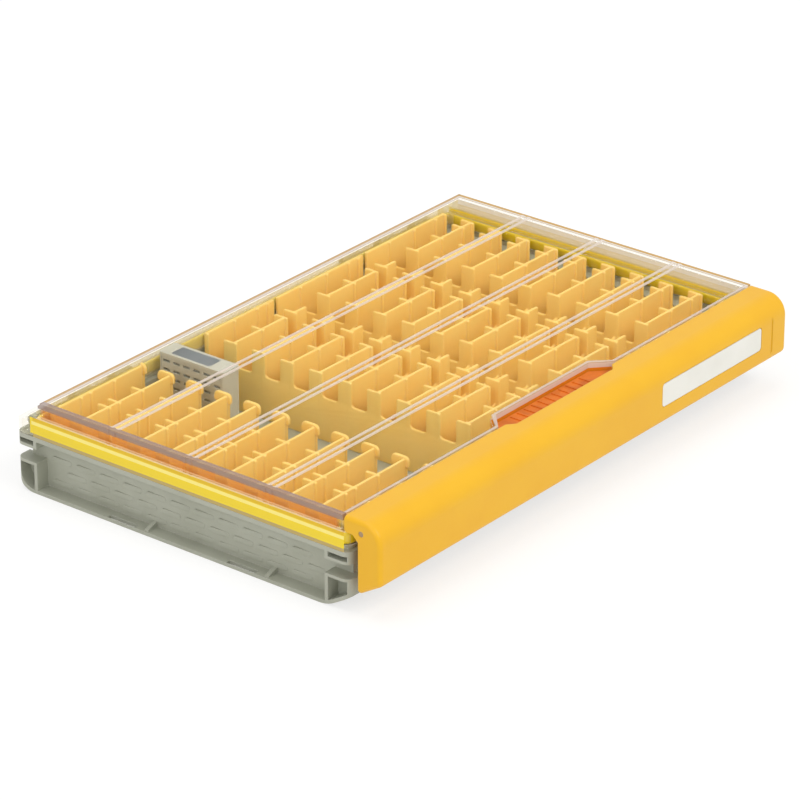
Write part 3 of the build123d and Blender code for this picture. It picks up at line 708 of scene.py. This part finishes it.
def plate(outline: np.ndarray, thickness: float, edge: float, steps: int = 2) -> Solid:
    """Plate with rounded edges on both faces, in its own axes.

    Ring k of each rounded edge is the outline moved in by the edge radius times 1 minus the cosine of the
    ring's angle, at a depth of the radius times 1 minus its sine below the face.

    Args:
        outline: Closed outline in the plate's plane.
        thickness: The plate's thickness.
        edge: Radius of its edges.
        steps: Number of runs round each edge.

    Returns:
        The plate, with the outline's axes as X and Z and the thickness along Y.
    """
    angle = np.linspace(0, math.pi / 2, steps + 1)
    inset = edge * (1 - np.cos(angle))
    depth = thickness / 2 - edge * (1 - np.sin(angle))
    inset = np.concatenate([inset[::-1], inset])
    depth = np.concatenate([-depth[::-1], depth])
    flat = outline[None] + inset[:, None, None] * inward(outline)[None]
    rings = np.broadcast_arrays(flat[:, :, 0], depth[:, None], flat[:, :, 1])
    return loft(np.stack(rings, axis=-1))


def laid(solid: Solid, run: WallRun, place: float) -> Solid:
    """Move a plate to its place in the box.

    Args:
        solid: A plate in its own axes.
        run: Along the latch, the outline lies in X and Z, and across, after a quarter turn, in Y and Z.
        place: Y of a wall along the latch, or X of a wall across.

    Returns:
        The plate in the box's frame.
    """
    points = solid.points.copy()
    if run is WallRun.ACROSS:
        points = points[:, [1, 0, 2]] * (-1, 1, 1)
        points[:, 0] += place
    else:
        points[:, 1] += place
    return Solid(points, solid.smooth, solid.flat)


def piece(name: str, solids: list[Solid], looks: Looks, body: str, slot: str) -> Object:
    """Make one object of several forms, dress it and let it ride on a body.

    Args:
        name: The piece's name.
        solids: Its closed forms in the box's frame.
        looks: Materials by slot.
        body: The CAD body that it moves with.
        slot: The record's material slot that it takes its finish from.

    Returns:
        The new object, at the origin.
    """
    starts = np.cumsum([0] + [len(s.points) for s in solids[:-1]])
    points = np.concatenate([s.points for s in solids])
    smooth = np.concatenate([s.smooth + start for s, start in zip(solids, starts)])
    flat = [[int(i + start) for i in face] for s, start in zip(solids, starts) for face in s.flat]
    mesh = bpy.data.meshes.new(name)
    mesh.from_pydata(points.tolist(), [], smooth.tolist() + flat)
    mesh.polygons.foreach_set("use_smooth", np.arange(len(mesh.polygons)) < len(smooth))
    mesh.set_sharp_from_angle(angle=math.radians(SMOOTH_DEGREES))
    mesh.materials.append(looks[slot])
    mesh.validate()
    made = bpy.data.objects.new(name, mesh)
    bpy.context.scene.collection.objects.link(made)
    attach(made, body)
    return made


def dress(nodes: list[str], finish: Material) -> None:
    """Give CAD nodes a finish, and leave their shape and place alone.

    Args:
        nodes: The nodes' names.
        finish: Their material.
    """
    for node in nodes:
        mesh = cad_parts[node].data
        mesh.materials.clear()
        mesh.materials.append(finish)


# Sub-assemblies


@dataclass
class CradleInsert:
    """One yellow moulded insert: row walls, notched cross walls and, on the left, round-headed posts.

    Attributes:
        side: Which insert this is.
        start: X of its first cross wall's outer face.
        end: X of its last wall's outer face.
        crosses: X of the middle of every cross wall.
        gaps: X ranges of the notches through the row walls.
        post_x: X of the posts' outer face, or None where there are none.
        slits: X of the slits in the back wall.
    """

    side: Side
    start: float
    end: float
    crosses: np.ndarray
    gaps: np.ndarray
    post_x: float | None = None
    slits: tuple[float, ...] = ()

    # sizes that both inserts share
    rows: int = 10
    pitch: float = 19.9 * MM
    wall: float = 1.8 * MM
    slit_half: float = 1.5 * MM
    cross_drop: float = 0.03 * MM
    front: float = -93.0 * MM
    back: float = 107.7 * MM
    first_row: float = -92.15 * MM
    low: float = 5.5 * MM
    top: float = 45.0 * MM
    notch_low: float = 31.0 * MM
    notch_corner: float = 2.0 * MM
    shoulder: float = 0.9 * MM
    arm_back: float = 7.0 * MM
    arm_front: float = 2.3 * MM
    edge: float = 0.6 * MM
    post_width: float = 11.4 * MM
    post_front: float = 2.9 * MM
    post_head_low: float = 40.2 * MM
    post_top: float = 46.2 * MM
    post_radius: float = 2.9 * MM
    post_thickness: float = 2.0 * MM
    post_shoulder: float = 1.6 * MM
    post_slope: float = 0.6 * MM
    cut_half: float = 54.8 * MM
    cut_back: float = -86.05 * MM
    cut_low: float = 42.5 * MM

    def notch(self, width: float, top: float) -> np.ndarray:
        """One notch from its left shoulder to its right, about its middle.

        Each shoulder is a quarter round of the shoulder radius, and each bottom corner one of the corner
        radius, or of nearly half the width in a narrow notch.

        Args:
            width: Width between the notch's sides.
            top: Height of the wall beside it.

        Returns:
            Points along and up the wall.
        """
        half = width / 2
        corner = min(self.notch_corner, 0.98 * half)
        return np.concatenate(
            [
                arc((-half - self.shoulder, top - self.shoulder), self.shoulder, 90, 0, 2),
                arc((-half + corner, self.notch_low + corner), corner, 180, 270, 6),
                arc((half - corner, self.notch_low + corner), corner, 270, 360, 6),
                arc((half + self.shoulder, top - self.shoulder), self.shoulder, 180, 90, 2),
            ]
        )

    def wall_outline(self, start: float, end: float, notches: np.ndarray, top: float) -> np.ndarray:
        """A wall's outline with its notches, from its lower left corner over the top to its lower right.

        Args:
            start: Left end.
            end: Right end.
            notches: Rows of left and right side of each notch, in order.
            top: Height of the wall.

        Returns:
            Closed outline along and up the wall.
        """
        parts = [np.array([[start, self.low], [start, top]])]
        for left, right in notches:
            parts.append(self.notch(right - left, top) + ((left + right) / 2, 0))
        parts.append(np.array([[end, top], [end, self.low]]))
        return np.concatenate(parts)

    def cross_walls(self) -> list[Solid]:
        """Cross walls, each with one notch over every lane.

        Returns:
            The walls in the box's frame.
        """
        lanes = self.first_row + self.pitch * np.arange(self.rows)
        notches = np.stack([lanes + self.arm_back, lanes + self.pitch - self.arm_front], axis=1)
        outline = self.wall_outline(self.front, self.back, notches, self.top - self.cross_drop)
        wall = plate(outline, self.wall, self.edge, steps=3)
        walls = []
        for place in self.crosses:
            cut = self.side is Side.RIGHT and abs(place) < self.cut_half
            walls.append(laid(self.lowered_cross(outline) if cut else wall, WallRun.ACROSS, place))
        return walls

    def lowered_cross(self, outline: np.ndarray) -> Solid:
        """Cross wall that is lower at its front end, under the lid's thumb slot.

        Args:
            outline: Outline of the whole wall.

        Returns:
            The wall in its own axes.
        """
        lowered = outline.copy()
        under = lowered[:, 0] < self.cut_back
        lowered[under, 1] = np.minimum(lowered[under, 1], self.cut_low)
        return plate(lowered, self.wall, self.edge)

    def row_walls(self) -> list[Solid]:
        """Walls along the rows. The first is whole, and the last has only the slits.

        Returns:
            The walls in the box's frame.
        """
        walls = []
        for number in range(self.rows + 1):
            outer = number in (0, self.rows)
            notches = np.zeros((0, 2)) if outer else self.gaps
            if number == self.rows and self.slits:
                notches = np.add.outer(self.slits, [-self.slit_half, self.slit_half])
            outline = self.wall_outline(self.start, self.end, notches, self.top)
            if number == 0 and self.side is Side.RIGHT:
                outline = self.lowered_row()
            walls.append(
                laid(plate(outline, self.wall, self.edge), WallRun.ALONG_LATCH, self.row_place(number))
            )
        return walls

    def lowered_row(self) -> np.ndarray:
        """Outline of the front wall, lower as far as the thumb slot's right side.

        Returns:
            Points along and up the wall.
        """
        half = self.cut_half
        return np.array(
            [
                [self.start, self.low],
                [self.start, self.cut_low],
                [half, self.cut_low],
                [half, self.top],
                [self.end, self.top],
                [self.end, self.low],
            ]
        )

    def row_place(self, number: int) -> float:
        """Y of a row wall's middle plane."""
        return self.first_row + number * self.pitch

    def posts(self) -> list[Solid]:
        """Round-headed posts at the row walls' ends beside the channel.

        Returns:
            The posts in the box's frame.
        """
        if self.post_x is None:
            return []
        half = self.post_width / 2
        stem = half - self.post_shoulder
        head = self.post_top - self.post_radius
        neck = self.post_head_low + self.post_slope
        outline = np.concatenate(
            [
                [[-stem, self.low], [-stem, self.post_head_low], [-half, neck]],
                arc((-half + self.post_radius, head), self.post_radius, 180, 90, 5),
                arc((half - self.post_radius, head), self.post_radius, 90, 0, 5),
                [[half, neck], [stem, self.post_head_low], [stem, self.low]],
            ]
        )
        walls = []
        for number in range(self.rows + 1):
            middle = self.row_place(number) - self.post_front + half
            placed = outline + (middle, 0)
            placed[:, 0] = np.clip(placed[:, 0], self.front, self.back)
            # points that the clip has put on one spot are left out
            kept = np.linalg.norm(placed - np.roll(placed, 1, axis=0), axis=1) > 1e-6
            post = plate(placed[kept], self.post_thickness, self.edge)
            walls.append(laid(post, WallRun.ACROSS, self.post_x - self.post_thickness / 2))
        return walls

    def build(self, looks: Looks) -> list[Object]:
        """Make the insert in place of its CAD node.

        Args:
            looks: Materials by slot.

        Returns:
            The new piece.
        """
        node = f"insert_{self.side.name.lower()}"
        forms = self.cross_walls() + self.row_walls() + self.posts()
        made = piece(f"cradle_{self.side.name.lower()}", forms, looks, "base", "yellow_cradle")
        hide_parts(node)
        return [made]


def left_cradle() -> CradleInsert:
    """The left insert, with three cross walls behind its end wall and posts beside the channel.

    Returns:
        The insert, not yet built.
    """
    return CradleInsert(
        Side.LEFT,
        start=-166.65 * MM,
        end=-94.0 * MM,
        crosses=np.array([-165.9, -144.3, -136.5, -118.1]) * MM,
        gaps=np.zeros((0, 2)),
        post_x=-94.0 * MM,
    )


def right_cradle() -> CradleInsert:
    """The right insert: four cross walls that repeat every 79 mm, and notches through the row walls.

    Returns:
        The insert, not yet built.
    """
    # in mm up to the factors below
    module = 79.0
    end_walls = [-42.75, 165.9]
    places = np.add.outer(np.arange(3) * module, [-42.6, -20.1, -0.5, 7.9]).ravel()
    # the end walls stand in for the walls that would fall on them or past them
    places = np.append(places[(places > -40) & (places < 160)], end_walls)
    starts = np.arange(2) * module
    narrow = np.stack([starts + 0.25, starts + 7.15], axis=1)
    wide = np.stack([starts + 17.9, starts + 35.65], axis=1)
    gaps = np.concatenate([narrow, wide])
    return CradleInsert(
        Side.RIGHT,
        start=-43.5 * MM,
        end=166.65 * MM,
        crosses=np.sort(places) * MM,
        gaps=gaps[np.argsort(gaps[:, 0])] * MM,
        slits=(15.4 * MM, 93.4 * MM),
    )


@dataclass
class BaseTray:
    """The grey tray, with raised pads in brick fashion on its end panels.

    Attributes:
        panel: X of the end panels' outer faces.
        pad_length: Length of a pad.
        pad_height: Height of a pad.
        pad_rise: How far a pad stands out.
        pad_pitch: Distance from pad to pad in a row.
        row_low: Z of the lowest row's middle.
        row_pitch: Distance from row to row.
        ends: Y of the first pad's back end, in even and odd rows from the lowest.
        pads_in_row: Number of pads in a row.
        rows: Number of rows.
        pad_edge: Radius of a pad's edges.
        pad_foot: Share of its rise that is left at the end towards the latch.
        pad_fade: Power by which the rise falls off towards that end.
    """

    panel: float = 169.0 * MM
    pad_length: float = 13.0 * MM
    pad_height: float = 3.0 * MM
    pad_rise: float = 0.9 * MM
    pad_pitch: float = 16.28 * MM
    row_low: float = 6.0 * MM
    row_pitch: float = 6.6 * MM
    ends: tuple[float, float] = (104.0 * MM, 94.0 * MM)
    pads_in_row: int = 11
    rows: int = 4
    pad_edge: float = 0.25 * MM
    pad_foot: float = 0.06
    pad_fade: float = 2.2

    def pad(self) -> Solid:
        """One pad: a bar with half-round ends, whose rise fades towards the latch as a power of place.

        Returns:
            The pad in its own axes.
        """
        radius = self.pad_height / 2
        reach = self.pad_length / 2 - radius
        outline = np.concatenate(
            [arc((-reach, 0), radius, 90, 270, 6), arc((reach, 0), radius, 270, 450, 6)]
        )
        form = plate(outline, 2 * self.pad_rise, self.pad_edge)
        along = form.points[:, 0] / self.pad_length + 0.5
        form.points[:, 1] *= self.pad_foot + (1 - self.pad_foot) * along**self.pad_fade
        return form

    def pads(self, side: Side) -> list[Solid]:
        """All pads of one end panel.

        Args:
            side: Which end.

        Returns:
            The pads in the box's frame.
        """
        pad = laid(self.pad(), WallRun.ACROSS, side.value * self.panel)
        forms = []
        for row in range(self.rows):
            first = self.ends[row % 2] - self.pad_length / 2
            for number in range(self.pads_in_row):
                shift = (0, first - number * self.pad_pitch, self.row_low + row * self.row_pitch)
                forms.append(Solid(pad.points + shift, pad.smooth, pad.flat))
        return forms

    def build(self, looks: Looks) -> list[Object]:
        """Dress the tray and its pins, and make the pads.

        Args:
            looks: Materials by slot.

        Returns:
            The new pieces.
        """
        dress(["base_tray"], looks["grey_tray"])
        dress(["hinge_pin_left", "hinge_pin_right"], looks["steel_pin"])
        return [
            piece(f"end_panel_pads_{side.name.lower()}", self.pads(side), looks, "base", "grey_tray")
            for side in Side
        ]


@dataclass
class MoistureHolder:
    """The grey divider with its louvred face, its felt pad and its blank label plate.

    Attributes:
        felt_gap: Distance that the felt keeps from its CAD box.
        felt_power: Power of the superellipse that rounds it off.
        felt_wave: How uneven its faces are, as a share of its size.
    """

    felt_gap: float = 0.1 * MM
    felt_power: int = 8
    felt_wave: float = 0.006

    def build(self, looks: Looks) -> list[Object]:
        """Dress the holder and make its felt pad.

        Args:
            looks: Materials by slot.

        Returns:
            The new pieces.
        """
        dress(["divider_body", "divider_louvre"], looks["grey_divider"])
        dress(["divider_label"], looks["dark_plate"])
        low, high = (np.array(corner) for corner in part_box("wick_pad"))
        made = piece("felt_wick", [self.pillow(low, high)], looks, "base", "wick")
        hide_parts("wick_pad")
        return [made]

    def pillow(self, low: np.ndarray, high: np.ndarray) -> Solid:
        """Block with soft rounded edges and slightly uneven faces.

        Ring k is a superellipse whose half sizes shrink near both faces as another one's do, and every
        point is moved in by a small sine of its ring's place and its angle.

        Args:
            low: Lowest corner.
            high: Highest corner.

        Returns:
            The closed form.
        """
        middle = (low + high) / 2
        half = (high - low) / 2 - self.felt_gap
        angle = np.linspace(0, 2 * math.pi, 96, endpoint=False)
        level = np.sin(np.linspace(-math.pi / 2, math.pi / 2, 25))
        round_off = (1 - level**self.felt_power) ** (1 / self.felt_power)
        across, up = superellipse(angle, self.felt_power)
        uneven = 1 - self.felt_wave * (1 + np.sin(9 * angle[None] + 7 * level[:, None]))
        size = (0.9 * round_off[:, None] + 0.1) * uneven
        rings = np.broadcast_arrays(level[:, None], across * size, up * size)
        return loft(middle + half * np.stack(rings, axis=-1))


@dataclass
class ClearLid:
    """The clear lid with its soft seal.

    Attributes:
        seal_end: Half length over the seal.
        seal_front: Y of its front.
        seal_back: Y of its back.
        seal_width: Width of its section.
        seal_low: Z of its lower side.
        seal_high: Z of its upper side.
        corner: Radius of its outer corners.
        power: Power of its section's superellipse.
    """

    seal_end: float = 175.82 * MM
    seal_front: float = -100.57 * MM
    seal_back: float = 112.77 * MM
    seal_width: float = 3.34 * MM
    seal_low: float = 35.95 * MM
    seal_high: float = 42.55 * MM
    corner: float = 6.0 * MM
    power: float = 2.6

    def seal(self) -> Solid:
        """The seal: an oval section carried round a rounded rectangle.

        The path is the middle line of the seal. The section is a superellipse, so its sides bulge.

        Returns:
            The closed ring.
        """
        half = self.seal_width / 2
        radius = self.corner - half
        x = self.seal_end - self.corner
        front = self.seal_front + self.corner
        back = self.seal_back - self.corner
        corners = [((x, back), 0), ((-x, back), 90), ((-x, front), 180), ((x, front), 270)]
        path = np.concatenate([arc(centre, radius, start, start + 90, 8) for centre, start in corners])
        normal = np.concatenate([arc((0, 0), 1, start, start + 90, 8) for _, start in corners])
        angle = np.linspace(0, 2 * math.pi, 28, endpoint=False)
        out, up = superellipse(angle, self.power)
        flat = path[:, None] + normal[:, None] * (half * out)[None, :, None]
        level = (self.seal_low + self.seal_high + (self.seal_high - self.seal_low) * up) / 2
        return loft(np.dstack([flat, np.broadcast_to(level, flat.shape[:2])]), closed=True)

    def build(self, looks: Looks) -> list[Object]:
        """Dress the lid and make the seal.

        Args:
            looks: Materials by slot.

        Returns:
            The new pieces.
        """
        dress(["lid_shell"], looks["clear_lid"])
        made = piece("seal_ring", [self.seal()], looks, "lid", "yellow_seal")
        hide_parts("lid_seal")
        return [made]


@dataclass
class LatchBar:
    """The yellow latch bar with its pins, thumb pad and blank label."""

    def build(self, looks: Looks) -> list[Object]:
        """Dress the bar's nodes.

        Args:
            looks: Materials by slot.

        Returns:
            No new pieces, as the bar's are all CAD nodes.
        """
        dress(["latch_bar"], looks["yellow_latch"])
        dress(["latch_pin_left", "latch_pin_right"], looks["steel_pin"])
        dress(["thumb_pad"], looks["orange_pad"])
        dress(["latch_label"], looks["white_label"])
        return []


# Studio


@dataclass
class Studio:
    """A plain pale floor, a white surround, soft lamps and the camera.

    Attributes:
        eye: The camera's place.
        turn: The camera's turn about Z in degrees, from looking along Y.
        tilt: Degrees that it looks down.
        lens_mm: Its focal length.
        sensor_mm: Width of its sensor.
        surround: Strength of the surround's light on the box.
    """

    eye: tuple[float, float, float] = (-1.68804, -1.33698, 1.05689)
    turn: float = -51.482
    tilt: float = 25.699
    lens_mm: float = 200.1
    sensor_mm: float = 36.0
    surround: float = 0.62

    def camera(self) -> None:
        """Add the camera at the photograph's angle."""
        data = bpy.data.cameras.new("camera")
        data.lens = self.lens_mm
        data.sensor_width = self.sensor_mm
        data.clip_start = 0.05
        data.clip_end = 20.0
        camera = bpy.data.objects.new("camera", data)
        camera.location = self.eye
        camera.rotation_euler = (math.radians(90 - self.tilt), 0, math.radians(self.turn))
        bpy.context.scene.collection.objects.link(camera)
        bpy.context.scene.camera = camera

    def lamp(self, name: str, place: tuple[float, float, float], width: float, watts: float) -> None:
        """Add a square soft lamp that faces the box.

        Args:
            name: The lamp's name.
            place: Its place.
            width: Width of its panel.
            watts: Its power.
        """
        data = bpy.data.lights.new(name, "AREA")
        data.shape = "SQUARE"
        data.size = width
        data.energy = watts
        lamp = bpy.data.objects.new(name, data)
        lamp.location = place
        flat = math.hypot(place[0], place[1])
        lamp.rotation_euler = (math.atan2(flat, place[2]), 0, math.atan2(place[1], place[0]) + math.pi / 2)
        bpy.context.scene.collection.objects.link(lamp)

    def world(self) -> None:
        """White surround for camera, glossy and transmission rays, and soft light for the rest."""
        world = bpy.data.worlds.new("surround")
        world.use_nodes = True
        tree = world.node_tree
        tree.nodes.clear()
        white = add_node(tree, "ShaderNodeBackground", {"Color": linear("#FFFFFF"), "Strength": 1.0})
        soft = {"Color": linear("#FFFDFA"), "Strength": self.surround}
        light = add_node(tree, "ShaderNodeBackground", soft)
        seen = any_ray(tree, Rays.CAMERA, Rays.GLOSSY, Rays.TRANSMISSION)
        both = add_node(tree, "ShaderNodeMixShader", {0: seen, 1: light, 2: white})
        add_node(tree, "ShaderNodeOutputWorld", {"Surface": both})
        bpy.context.scene.world = world

    def floor(self) -> None:
        """Plain pale floor that keeps the box's shadow and is white where nothing shades it."""
        material, tree = new_tree("studio_floor")
        pale = add_node(tree, "ShaderNodeBsdfDiffuse", {"Color": linear("#F4F4F2")})
        shade = add_node(tree, "ShaderNodeBsdfDiffuse", {"Color": linear("#9A9A99")})
        lift = add_node(tree, "ShaderNodeEmission", {"Color": linear("#FFFFFF"), "Strength": 0.7})
        white = add_node(tree, "ShaderNodeAddShader", {0: shade, 1: lift})
        seen = any_ray(tree, Rays.CAMERA, Rays.GLOSSY, Rays.TRANSMISSION)
        both = add_node(tree, "ShaderNodeMixShader", {0: seen, 1: pale, 2: white})
        add_node(tree, OUTPUT, {"Surface": both})
        mesh = bpy.data.meshes.new("studio_floor")
        reach = 6.0
        corners = [(-reach, -reach, 0), (reach, -reach, 0), (reach, reach, 0), (-reach, reach, 0)]
        mesh.from_pydata(corners, [], [(0, 1, 2, 3)])
        mesh.materials.append(material)
        floor = bpy.data.objects.new("studio_floor", mesh)
        bpy.context.scene.collection.objects.link(floor)

    def build(self) -> None:
        """Set up the whole studio."""
        bpy.context.scene.view_settings.view_transform = "Standard"
        self.camera()
        self.world()
        self.floor()
        self.lamp("key_front", (0.2, -2.4, 2.5), 1.6, 35.0)
        self.lamp("top", (-0.3, 0.4, 3.2), 2.0, 24.0)
        self.lamp("fill_left", (-2.6, -0.6, 1.5), 1.4, 14.0)


def main() -> None:
    """Build the studio and the box's sub-assemblies in order, and report each piece."""
    logging.basicConfig(level=logging.INFO, format="%(name)s: %(message)s")
    Studio().build()
    looks = {slot: finish.material() for slot, finish in FINISHES.items()}
    for part in (BaseTray(), left_cradle(), right_cradle(), MoistureHolder(), ClearLid(), LatchBar()):
        for new in part.build(looks):
            LOG.info("%s: %d faces", new.name, len(new.data.polygons))


if __name__ == "__main__":
    main()
